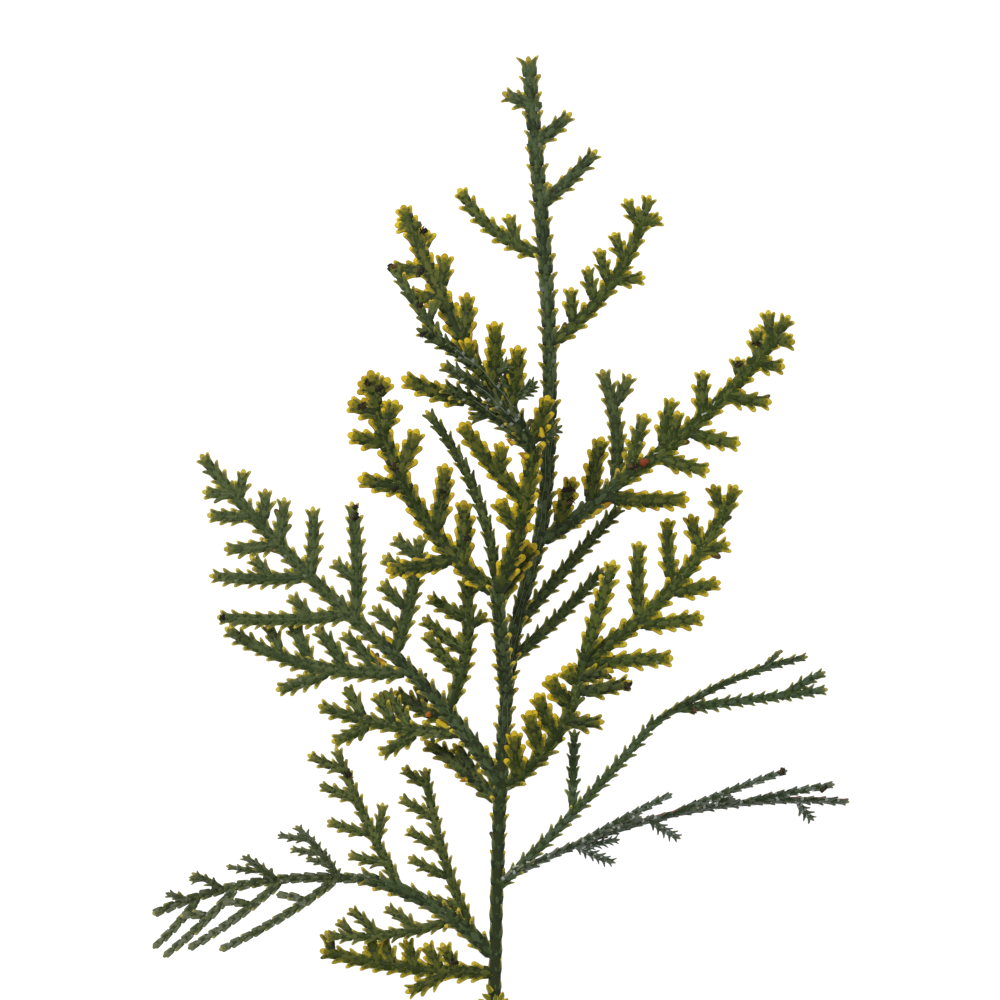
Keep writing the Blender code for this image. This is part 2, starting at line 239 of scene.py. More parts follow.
def side_twig(shoots, node, key, path, at, side, size, lift, wider, order):
    """A twig as many steps long as its size that curves forward from its stem, as in the solids."""
    rng = random.Random(f"{SEED} {key}")
    place, ahead, left, up = (array[0] for array in path.frames([at * STEP]))
    turn = wider + rng.uniform(-ANGLE_SPREAD, ANGLE_SPREAD)
    rise = math.radians(lift + rng.uniform(-LIFT_SPREAD, LIFT_SPREAD))
    length = int(size, 36)
    half = length * STEP / 2
    out = left * side * math.cos(rise) + up * math.sin(rise)
    face = up * math.cos(rise) - left * side * math.sin(rise)
    first, then = (math.radians(angle + turn) for angle in (START_ANGLE, END_ANGLE))
    pull = place + (ahead * math.cos(first) + out * math.sin(first)) * half
    tip = pull + (ahead * math.cos(then) + out * math.sin(then)) * half
    twig = pulled(place, pull, tip, face)
    shoots.append(Shoot(node, key, twig, order, True))
    for k, small_side, small in FINER.get(key, ()):
        side_twig(shoots, node, f"{key}:{k}", twig, k, small_side, small, 0, 0, "small")
    if size.isupper():
        for k in range(FORK_AT, length - FORK_END, FORK_EVERY):
            side_twig(shoots, node, f"{key}.{k}", twig, k, -side, str(SMALL_TWIG), 0, 0, "small")


def side_twigs(shoots, stem, path):
    """The twigs along both sides of a stem, by its two rows of characters."""
    node = stem.name.split("/")[0]
    lift = sum(stem.lift) / 2
    rows = (1, "left", stem.left, stem.wider[0]), (-1, "right", stem.right, stem.wider[1])
    for side, row, sizes, wider in rows:
        for k, size in enumerate(sizes):
            if size != "." and k * STEP < path.length:
                key = f"{stem.name} {row} {k}"
                side_twig(shoots, node, key, path, k, side, size, lift, wider, "twig")


def grow():
    """All shoots, from the same table and by the same rule as the solids."""
    leader = through(LEADER_ROUTE, UP)
    paths, shoots = {"leader": leader}, [Shoot("leader", "leader", leader, "leader", True)]
    side_twigs(shoots, LEADER, leader)
    carried_on = {stem.parent for stem in BOUGHS + SPRAYS if stem.at == 1}
    for stem in BOUGHS + SPRAYS:
        node = stem.name.split("/")[0]
        parent = paths[stem.parent]
        start, tip = parent.frames([stem.at * parent.length])[0][0], np.array(stem.tip, float)
        chord = tip - start
        left = unit(np.cross(UP, chord))
        level = unit(np.cross(chord, left))
        roll = math.radians(stem.lift[0] - stem.lift[1]) / 2
        up = level * math.cos(roll) - left * math.sin(roll)
        pull = (start + tip) / 2 + (left * stem.bow[0] + level * stem.bow[1]) * 2
        paths[stem.name] = path = pulled(start, pull, tip, up)
        order = "bough" if stem in BOUGHS else "axis"
        shoots.append(Shoot(node, stem.name, path, order, stem.name not in carried_on))
        side_twigs(shoots, stem, path)
    return shoots


def laid_flat(shoot):
    """The shoot, turned to face up if it is a flat twig."""
    if shoot.key.startswith(FLAT_TWIGS):
        return shoot._replace(path=Path(shoot.path.points, UP))
    return shoot


# ---------------- finishes

# Waxy flesh, whose pores break up its faint gloss: 0.05 mm apart in life, and drawn 0.4 mm apart to show
PORES_PER_METRE = 2600
PORE_DEPTH, PORE_STRENGTH, PORE_DETAIL = 0.00012, 0.8, 2.0  # metres, share and octaves
LEAF_ROUGHNESS, LEAF_SPECULAR = 0.55, 0.2


def linear(colour):
    """An sRGB hex colour as linear red, green and blue, by the curve of that standard."""
    parts = (int(colour[k : k + 2], 16) / 255 for k in (1, 3, 5))
    return [c / 12.92 if c <= 0.04045 else ((c + 0.055) / 1.055) ** 2.4 for c in parts]


def blank(name):
    """A new material with an empty node tree."""
    made = bpy.data.materials.new(name)
    made.use_nodes = True
    made.node_tree.nodes.clear()
    return made


def add(tree, kind, **links):
    """One node, with its inputs set to values or linked to other nodes' outputs."""
    node = tree.nodes.new("ShaderNode" + kind)
    for name, value in links.items():
        socket = node.inputs[name.replace("_", " ")]
        if isinstance(value, bpy.types.NodeSocket):
            tree.links.new(value, socket)
        else:
            socket.default_value = value
    return node


def scale_finish(name, colour):
    """Waxy leaf flesh in one plain colour."""
    made = blank(name)
    tree = made.node_tree
    place = add(tree, "TexCoord")
    where = place.outputs["Object"]
    pores = add(tree, "TexNoise", Vector=where, Scale=PORES_PER_METRE, Detail=PORE_DETAIL)
    relief = add(tree, "Bump", Height=pores.outputs["Fac"], Strength=PORE_STRENGTH, Distance=PORE_DEPTH)
    surface = add(
        tree, "BsdfPrincipled", Base_Color=(*linear(colour), 1), Roughness=LEAF_ROUGHNESS,
        Specular_IOR_Level=LEAF_SPECULAR, Normal=relief.outputs["Normal"],
    )
    add(tree, "OutputMaterial", Surface=surface.outputs[0])
    return made


# The tones of a scale leaf: flesh dark, middle, light and pale, young flesh near a tip, its rim, its tip,
# a brown outline and dried flesh; and those of the marks, in a palette of their own. The rim and tip are
# painted backlight glow through a leaf's thin margins, and the young flesh beside them is partly the fringe
# of that glow; the marks' amber and gold are painted backlight glow through thin leaves
TONES = "dark middle light pale young rim tip edge dry".split()
DARK, MIDDLE, LIGHT, PALE, YOUNG, GLOW_RIM, GLOW_TIP, EDGE, DRY = range(9)
MARK_TONES = "dark_husk husk pale_husk wax red_bud orange_bud thread bark amber gold young_leaf".split()
DARK_HUSK, HUSK, PALE_HUSK, WAX, RED_BUD, ORANGE_BUD, THREAD, BARK, GLOW_AMBER, GLOW_GOLD, YOUNG_LEAF = range(11)
PALETTES = {
    "deep_green": "#314019 #425026 #505c30 #6c7556 #6c6c2c #a69838 #c4b444 #8c742c #5b4428",
    "mid_green": "#2a370c #3e4b1a #58622e #6c7556 #706e22 #a8982c #c8b43a #86702a #574024",
    "light_olive": "#35410f #4b5622 #5c6430 #6c7556 #746f30 #a49a3e #beb040 #86702a #574024",
    "fresh_green": "#34410e #47541e #5a6329 #788058 #767219 #b69f1f #d6be2e #8e7620 #5b4426",
    "amber_edged": "#28350a #3f4a14 #575b1c #666c42 #74701a #b4980e #d6b81e #8a661c #4a3820",
    "olive": "#2d3804 #404a0c #54581a #6c7240 #746f18 #a89616 #ccb42e #84681c #4e3a1e",
    "blue_green": "#3c4824 #515a30 #666d56 #7c836c #676d42 #8c8a4e #a29c54 #7c7044 #5e4a34",
    "sea_green": "#384a20 #46582f #506047 #727c66 #687040 #9a944c #b4ac58 #7c6c3c #5a4630",
    "silvered": "#303e22 #4a573e #646d62 #a8aea6 #626852 #807f64 #9c9874 #8a5444 #4a3c2c",
    "fan_green": "#1f2a10 #36431e #525d38 #8c9284 #585c24 #8e8630 #b8a63a #8a6a24 #3c3020",
    "shaded": "#1d2806 #37441a #4d5624 #5a5f3a #66641e #a8941e #c4ac2a #7a6020 #45341c",
    "stem": "#29361b #3f4e28 #4e5c3a #6c755c #686a34 #ac9a34 #ccb634 #7a6a38 #54442e",
    "marks": "#1e1c12 #3a2e1c #64482c #b4baa8 #8c4020 #b06a28 #8a7a58 #2f391d #a87a1c #cdb020 #767e2c",
}

# How leaves look: the starts of their shoots' names, of which the longest counts; palette; size and pitch
# against their order's; the stem's half width, how blunt a free tip is and how far it stands out, as shares
# of a leaf's size; the depth in sectors of the rim of painted backlight glow; the shares of leaves with a tip
# in that painted glow, with a brown outline and with wax at the root; the number of pale strands; and the
# share of a side leaf that is free
Habit = namedtuple(
    "Habit", "of palette size pitch body blunt spread rim tipped browned waxed strands free",
    defaults=(0, 0.5),
)
HABITS = [Habit(*row) for row in (
    ("leader", "stem", 0.98, 1.04, 0.93, 0.4, 0.9, 1, 1, 0.04, 0.1, 2, 0.36),
    ("leader left, leader right, left_bough, right_high_bough, front_bough, lower_left_bough",
      "stem", 1, 1, 0.86, 0.5, 0.9, 1, 0.95, 0.05, 0.06, 0, 0.42),
    ("left, right_high_back", "deep_green", 0.94, 0.87, 0.8, 0.6, 1, 1, 0.97, 0.03, 0.04),
    ("left_inner, left_lower, right_mid_bough",
      "mid_green", 0.9, 0.86, 0.8, 0.65, 1, 1, 0.97, 0.05, 0.03),
    ("left_under, left_low_, right_mid_bough right",
      "shaded", 1, 0.95, 0.8, 0.6, 1, 1, 0.95, 0.1, 0),
    ("right", "fresh_green", 0.97, 0.97, 0.85, 0.85, 0.98, 1, 1, 0.1, 0.02),
    ("right_mid", "fresh_green", 0.97, 0.97, 0.85, 0.85, 0.98, 2, 1, 0.15, 0.02),
    ("right_back", "deep_green", 0.84, 0.92, 0.84, 0.4, 0.95, 1, 0.95, 0.05, 0),
    ("front, top, front_fan_spray right, front_fan_spray/outer, right_high_bough left, "
      "right_high_bough right, right_mid_bough left",
      "amber_edged", 1.03, 0.96, 0.94, 1, 0.84, 2, 1, 0.35, 0),
    ("front_middle, top_left_twig",
      "mid_green", 0.8, 0.94, 0.84, 0.35, 0.8, 1, 0.5, 0.03, 0.03),
    ("front_fan", "fan_green", 0.9, 0.76, 0.8, 0.4, 1, 1, 0.7, 0.1, 0.2, 1),
    ("front_fan_spray right 1:, front_fan_spray right 7:, front_fan_spray right 11:",
      "fan_green", 0.84, 0.42, 0.8, 0.1, 1.2, 1, 0.4, 0.1, 0.2),
    ("upper", "fresh_green", 0.88, 0.93, 0.84, 0.75, 0.98, 1, 1, 0.06, 0.02),
    ("lower_right", "sea_green", 0.68, 0.8, 0.86, 0.45, 0.95, 1, 0.95, 0.03, 0.08),
    ("lower_right_long", "silvered", 0.7, 0.78, 0.86, 0.4, 0.85, 1, 0.6, 0.25, 0.6),
    ("lower_right_long_spray left", "silvered", 0.6, 0.84, 0.82, 0.4, 0.6, 1, 0.6, 0.15, 0.3),
    ("lower_right_long_spray right", "silvered", 0.6, 0.5, 0.7, 0.1, 1.35, 1, 0.5, 0.05, 0.7),
    ("lower_left", "light_olive", 0.76, 0.82, 0.78, 0.6, 1, 1, 0.97, 0.05, 0.02),
    ("lower_left_spray", "blue_green", 0.65, 0.84, 0.95, 1.05, 0.32, 1, 0.4, 0.03, 0.25),
    ("lower_left_spray right", "blue_green", 0.72, 0.72, 0.7, 0.3, 1.15, 1, 0.7, 0.03, 0.3),
    ("bottom", "olive", 0.94, 0.88, 0.84, 0.6, 1, 2, 1, 0.1, 0),
)]


def habit_of(shoot):
    """The habit with the longest start of the shoot's name."""
    key = shoot.key
    return max((len(s), habit) for habit in HABITS for s in habit.of.split(", ") if key.startswith(s))[1]


def make_finishes():
    """Every palette's materials, named for what they are of."""
    finishes = {}
    for palette, colours in PALETTES.items():
        tones = MARK_TONES if palette == "marks" else [f"leaf_{palette}_{tone}" for tone in TONES]
        finishes[palette] = [scale_finish("cedar_" + tone, c) for tone, c in zip(tones, colours.split())]
    return finishes


# ---------------- scale leaves

# A leaf's rings stand evenly along it to the start of its rounded tip, and then by angles round that
BODY_RINGS, SHORT_RINGS = 5, 3  # of a side leaf, and of a face leaf or an end leaf
FIRST_RING = 0.4  # of the way from one ring to the next
TIP_TURNS = (0, 32, 60)  # degrees
SIDE_BANDS, SHORT_BANDS = BODY_RINGS + len(TIP_TURNS) - 1, SHORT_RINGS + len(TIP_TURNS) - 1
# A ring's points from its outer edge over its top, closest together where a leaf's rim or crest is
SIDE_RING = np.radians((0, 38, 62, 88, 122, 152, 180, 208, 238, 272, 298, 322))
SIDE_DEPTH = np.array((0, 1, 2, 3, 4, 5, 5, 4, 3, 2, 1, 0))  # of a ring's sectors, from the outer edge
DEEPEST = 5
FACE_RING = np.radians((0, 38, 80, 100, 142, 180, 240, 300))
STEM_RING = np.radians(np.arange(0, 360, 20))

# A kind of leaf, in mm at size 1: length; the shares of it at which its tip starts to round, and behind its
# place; half width; half thickness at its root and how much less that is at its tip; and the factors between
# which single leaves differ in length and in width
Leaf = namedtuple("Leaf", "length tip behind wide thick thinner lengths widths")
SIDE = Leaf(3.3, 0.93, 0.2, 0.4, 0.45, 0.24, (0.93, 1.07), (0.92, 1.1))
FACE = Leaf(3.35, 0.5, 0.2, 0.62, 0.2, 0.07, (0.95, 1.05), (0.9, 1.1))
END = Leaf(2.5, 0.66, 0.55, 0.58, 0.46, 0.2, (0.94, 1.06), (0.92, 1.12))
# What a blunt side leaf loses and adds; the share of its width that a sharp one loses over its last half,
# and by which power; and how much any swells, by how many half waves
SHORTER, TIP_EARLIER, WIDER = 0.2, 0.09, 0.09
NARROWER, NARROWS_BY, BULGE, BULGES_BY = 0.66, 1.1, 0.14, 1.1
# Its root's depth in the stem, its drift outwards, its tip's bend at a spread of 1 and the power of that,
# and the ranges of its bend and of its rise
ROOT_DEPTH, DRIFT, BEND, BENDS_BY, BENDS, RISES = 0.38, 0.08, 1.16, 1.25, (0.82, 1.18), (-0.1, 0.14)
# A face leaf's height, rise and its power, the range of its tip's lift, and the power that rounds it
FACE_HEIGHT, FACE_RISE, FACE_RISES_BY, FACE_LIFTS, FACE_ROUNDS_BY = 0.12, 0.27, 1.3, (0, 0.05), 1.4
# How much wider a blunt end leaf is, how much an end leaf narrows, and how much less so if blunt
END_WIDER, END_NARROWER, END_FULLER = 0.1, 0.3, 0.24
ACROSS = np.array([0.0, 1.0, 0.0])  # of its stem, in a leaf's own ahead, outward and up


def stations(tip_start, body_rings=BODY_RINGS):
    """Shares along a leaf at which its ends and rings stand, and how wide it still is there."""
    body = (np.arange(body_rings) + FIRST_RING) / body_rings * tip_start
    turns = np.radians(TIP_TURNS)
    shares = np.concatenate([[0], body, tip_start + (1 - tip_start) * np.sin(turns), [1]])
    closing = np.concatenate([[0], np.ones(body_rings), np.cos(turns), [0]])
    return shares[None], closing[None]


def horn_faces(rings, points):
    """Faces of a closed horn: a fan at each end point and quads between its rings, facing out."""
    around = np.arange(points)
    after = (around + 1) % points
    quads = []
    for r in range(rings - 1):
        low, high = 1 + r * points, 1 + (r + 1) * points
        quads.append(np.stack([low + around, low + after, high + after, high + around], -1))
    first, last, end_ring = 0, 1 + rings * points, 1 + (rings - 1) * points
    start = np.stack([np.full(points, first), 1 + after, 1 + around], -1)
    end = np.stack([np.full(points, last), end_ring + around, end_ring + after], -1)
    return start, np.concatenate(quads), end


def ellipses(centre, across, up, width, height, ring):
    """Points about each place by the angles of a ring, by half axes across and up."""
    level, upright = (width * np.cos(ring))[..., None], (height * np.sin(ring))[..., None]
    return centre[..., None, :] + across[..., None, :] * level + up[..., None, :] * upright


def horns(centre, across, width, thick, ring):
    """Closed horns about centre lines in a leaf's own ahead, outward and up, by (leaf, place, axis)."""
    across = np.broadcast_to(across, centre.shape)[:, 1:-1]
    width, thick = (np.broadcast_to(half, centre.shape[:2])[:, 1:-1, None] for half in (width, thick))
    rings = ellipses(centre[:, 1:-1], across, UP, width, thick, ring)
    return np.concatenate([centre[:, :1], rings.reshape(len(centre), -1, 3), centre[:, -1:]], axis=1)


def tube(path, at, half_width, half_height, across, above, ring):
    """The points of a closed tube along a path, from the first to the last distance."""
    place, ahead, left, up = path.frames(at)
    place = place + left * np.broadcast_to(across, at.shape)[:, None] + up * above
    rings = ellipses(place, left, up, half_width, half_height, ring)
    return np.concatenate([place[:1], rings[1:-1].reshape(-1, 3), place[-1:]])[None]


def turned(centre):
    """The unit vectors across a centre line, level and to the left of where it runs."""
    slope = unit(np.gradient(centre[..., :2], axis=1))
    return np.stack([-slope[..., 1], slope[..., 0], 0 * slope[..., 0]], -1)


def side_leaves(spread, blunt, habit, rng):
    """Side leaves: clasping the stem at first, then bending away by a power curve to a free tip.

    Over its last half a sharp leaf narrows to a third of its width, and a blunt one keeps it.
    """
    n, bluntness = len(spread), np.mean(blunt)
    u, closing = stations(SIDE.tip - TIP_EARLIER * bluntness)
    length = (SIDE.length - SHORTER * bluntness) * rng.uniform(*SIDE.lengths, (n, 1))
    bend = (BEND * spread * rng.uniform(*BENDS, n))[:, None]
    free = np.clip((u - 1) / habit.free + 1, 0, 1)
    ahead = length * (u - SIDE.behind)
    outward = habit.body - ROOT_DEPTH + DRIFT * u + bend * free**BENDS_BY
    up = rng.uniform(*RISES, (n, 1)) * u**2
    centre = np.stack([ahead, outward, up], -1)
    last_half = np.clip((u - 0.5) / 0.5, 0, 1)
    narrowing = (NARROWER - NARROWER * blunt)[:, None] * last_half**NARROWS_BY
    bulge = BULGE * np.sin(np.pi * np.clip(u * BULGES_BY, 0, 1))
    full = SIDE.wide + WIDER * bluntness + bulge
    width = full * (1 - narrowing) * rng.uniform(*SIDE.widths, (n, 1)) * closing
    thick = (SIDE.thick - SIDE.thinner * u) * closing
    return horns(centre, turned(centre), width, thick, SIDE_RING)


def face_leaves(count, rng):
    """Flat leaves on a twig's face: shields, each tucked under the one behind it."""
    u, closing = stations(FACE.tip, SHORT_RINGS)
    length = FACE.length * rng.uniform(*FACE.lengths, (count, 1))
    ahead = length * (u - FACE.behind)
    lift = rng.uniform(*FACE_LIFTS, (count, 1)) * u**3
    centre = np.stack([ahead, 0 * ahead, FACE_HEIGHT + FACE_RISE * u**FACE_RISES_BY + lift], -1)
    width = FACE.wide * rng.uniform(*FACE.widths, (count, 1)) * closing**FACE_ROUNDS_BY
    thick = (FACE.thick - FACE.thinner * u) * closing
    return horns(centre, ACROSS, width, thick, FACE_RING)


def end_leaves(blunt, rng):
    """The closed leaves at a shoot's end: a short bud, from slim to fat with a round tip."""
    count, blunt = len(blunt), blunt[:, None]
    u, closing = stations(END.tip, SHORT_RINGS)
    ahead = END.length * rng.uniform(*END.lengths, (count, 1)) * (u - END.behind)
    centre = np.stack([ahead, 0 * ahead, 0 * ahead], -1)
    width = (END.wide + END_WIDER * blunt - (END_NARROWER - END_FULLER * blunt) * u) * closing
    width = width * rng.uniform(*END.widths, (count, 1))
    thick = (END.thick - END.thinner * u) * closing
    return horns(centre, ACROSS, width, thick, SIDE_RING)


def placed(shapes, frames, side, size):
    """Leaves moved to their places, mirrored for the right side."""
    place, ahead, left, up = frames
    scaled = shapes * size[:, None, None]
    left = left * side[:, None]
    along = place[:, None] + scaled[..., :1] * ahead[:, None]
    return along + scaled[..., 1:2] * left[:, None] + scaled[..., 2:] * up[:, None]


# ---------------- pieces

FLOOR_GAP = 0.02  # mm: nothing sinks into the floor


def put(name, data):
    """An object with this data, in the scene."""
    made = bpy.data.objects.new(name, data)
    bpy.context.scene.collection.objects.link(made)
    return made


class Heap:
    """A piece's vertices, faces and tones, as arrays."""

    def __init__(self):
        self.points, self.faces, self.tones, self.count = [], [], [], 0

    def add(self, points, groups):
        """points is (shapes, vertices, 3); a group is a shape's faces, which ones flip, and their tones."""
        shapes, each = points.shape[:2]
        offset = self.count + np.arange(shapes)[:, None, None] * each
        for faces, flip, tones in groups:
            moved = faces[None] + offset
            moved = np.where(flip[:, None, None], moved[..., ::-1], moved)
            self.faces.append(moved.reshape(-1, faces.shape[1]))
            self.tones.append(tones.reshape(-1))
        self.points.append(points.reshape(-1, 3))
        self.count += shapes * each

    def add_plain(self, points, ring, tones):
        """Horns or tubes with this ring, each in its own tone."""
        n = len(points)
        flip = np.zeros(n, bool)
        parts = horn_faces((points.shape[1] - 2) // len(ring), len(ring))
        self.add(points, [(faces, flip, np.broadcast_to(tones[:, None], (n, len(faces)))) for faces in parts])

    def piece(self, name, finishes):
        """The heap as one object, its faces in their tones' finishes."""
        mesh = bpy.data.meshes.new(name)
        points = np.concatenate(self.points)
        points[:, 2] = np.maximum(points[:, 2], FLOOR_GAP)
        sizes = np.concatenate([np.full(len(f), f.shape[1]) for f in self.faces])
        corners = np.concatenate([f.reshape(-1) for f in self.faces])
        mesh.vertices.add(len(points))
        mesh.vertices.foreach_set("co", (points * MM).ravel())
        mesh.loops.add(len(corners))
        mesh.loops.foreach_set("vertex_index", corners.astype(np.int32))
        mesh.polygons.add(len(sizes))
        mesh.polygons.foreach_set("loop_start", (np.cumsum(sizes) - sizes).astype(np.int32))
        mesh.polygons.foreach_set("material_index", np.concatenate(self.tones).astype(np.int32))
        mesh.polygons.foreach_set("use_smooth", np.ones(len(sizes), bool))
        mesh.update(calc_edges=True)
        for finish in finishes:
            mesh.materials.append(finish)
        return put(name, mesh)


# ---------------- tones

MOTTLE = 0.2, 0.6, 0.2  # chances that a face's flesh is a step darker, the same and a step lighter
FLESH = 0.18, 0.64, 0.18  # chances that a leaf's flesh is dark, middle and light
YOUNG_LIGHT = 0.7  # chance that the youngest leaf is light
DRIED = 0.012  # share of leaves
TIPS = 0.7, 0.3  # chances that a tip's painted backlight glow is at its brightest, and only as bright as the rim's
DEEP_RIMS = 0.6  # share of side leaves whose rim of painted backlight glow is as deep as their habit's, where that is over one sector


def mottled(flesh, bands, sectors, rng):
    """Flesh tones by leaf, band and sector, some a step lighter or darker."""
    step = rng.choice((-1, 0, 1), (len(flesh), bands, sectors), p=MOTTLE)
    return np.clip(flesh[:, None, None] + step, DARK, LIGHT)


def painted(tones, rules):
    """The tones with each rule's own laid over them where it holds, by band and sector."""
    for where, tone in rules:
        tones = np.where(where, tone[:, None, None], tones)
    return tones


def side_tones(tints, habit, rng):
    """A side leaf's tones: painted backlight glow where it is free, most at its outline and its tip, and
    painted shade at its root, a step darker where it clasps the stem, unless it is waxy there.
    """
    flesh, root, young, rim, tip, edge = tints
    band, depth = np.broadcast_arrays(np.arange(SIDE_BANDS)[:, None], SIDE_DEPTH[None])
    deep = np.where(rng.random(len(flesh)) < DEEP_RIMS, habit.rim, min(habit.rim, 1))[:, None, None]
    near_edge = np.minimum(depth - (deep > 1), DEEPEST - depth)  # in sectors, on a free part
    # The bands in which its outer edge is free, then both are, then it is free all round, and its round tip
    outer, both, whole, end = (band >= first for first in (2, 3, 4, BODY_RINGS))
    rules = [
        (band == 0, root),
        (outer & (depth <= deep), young),
        (both & (near_edge <= 1), young),
        (outer & (depth < deep), rim),
        (both & (near_edge <= 0), rim),
        (whole, rim),
        (whole & ~end & (near_edge == 2), young),
        (whole & (near_edge <= 0), tip),
        (end, tip),
        ((depth == 0) & outer & (band <= BODY_RINGS), edge),
    ]
    return painted(mottled(flesh, SIDE_BANDS, len(SIDE_DEPTH), rng), rules)


def face_tones(tints, rng):
    """A face leaf's tones: a step darker at its root, as painted shade where it is tucked under the leaf
    behind, or waxy.
    """
    flesh, root = tints[:2]
    band = np.arange(SHORT_BANDS)[:, None]
    return painted(mottled(flesh, SHORT_BANDS, len(FACE_RING), rng), [(band == 0, root)])


def end_tones(tints, rng):
    """An end leaf's tones: young flesh with a rim all round it and a tip, both of painted backlight glow."""
    flesh, root, young, rim, tip, edge = tints
    band, depth = np.arange(SHORT_BANDS)[:, None], np.minimum(SIDE_DEPTH, DEEPEST - SIDE_DEPTH)[None]
    rules = [
        (band >= 1, young),
        ((depth == 0) & (band >= 1), rim),
        ((depth <= 1) & (band >= 2), rim),
        (band >= SHORT_RINGS, tip),
        ((depth == 0) & (band >= 1) & (band <= SHORT_RINGS), np.where(edge == EDGE, EDGE, rim)),
    ]
    return painted(mottled(flesh, SHORT_BANDS, len(SIDE_DEPTH), rng), rules)


# ---------------- clothing a shoot

# Shares of the pitch: a carried-on shoot's bare end, a first pair's least place, and how far back face
# leaves stand, and the last ones
BARE_END, LAST_PAIR, FACE_BACK, LAST_FACE_BACK = 0.3, 0.1, 0.55, 0.1
END_ROOM, END_BACK = 2.5, 0.95  # mm at size 1, from a tip to its last pair and to its end leaf's place
ROOT_SIZE, TIP_SMALLER = 1.04, 0.12  # of leaves at a shoot's root, and how much less that is at its end
LAST_SIZE, LAST_SPREAD, LAST_FACE = 0.9, 0.85, 0.72  # of the leaves next to an end leaf
# The leader's leaves: their size at its cut and how much more it is at its tip, and their spread, in shares:
# how fast it grows with their share of the leader's length, how much less it is than that, and its least
LEADER_SIZE, LEADER_LARGER, OPENS, SHUT, LEAST = 0.9, 0.1, 9, 0.75, 0.15
# Youth: full to this many mm from a tip, then less over so many pairs, and at most so much
YOUNG_END, YOUNG_FULL, YOUNG_PAIRS, YOUNGEST = 2, 1.2, 2.2, 0.8
BLUNT_VARIES, BLUNTEST = 0.2, 1.15
# Pale strands: their starts and ends along a shoot, their place across it at size 1, how far they waver in
# mm and by how many radians a mm, their half width, their height at size 1 and their fewest samples
STARTS, ENDS, ASIDE, WAVER, WAVES = (0, 0.3), (0.6, 0.95), (-0.6, 0.6), 0.12, (0.6, 1.3)
STRAND_HALF, STRAND_HEIGHT, STRAND_LEAST = 0.045, 0.42, 6
SAMPLE = 1.2  # mm between the samples of a strand or a stem
SPELL = 31  # how much more each letter of a name counts in its seed


def seed_of(name):
    """A seed from a name, the same in each run."""
    return sum(ord(letter) * SPELL**k for k, letter in enumerate(name)) % 2**31


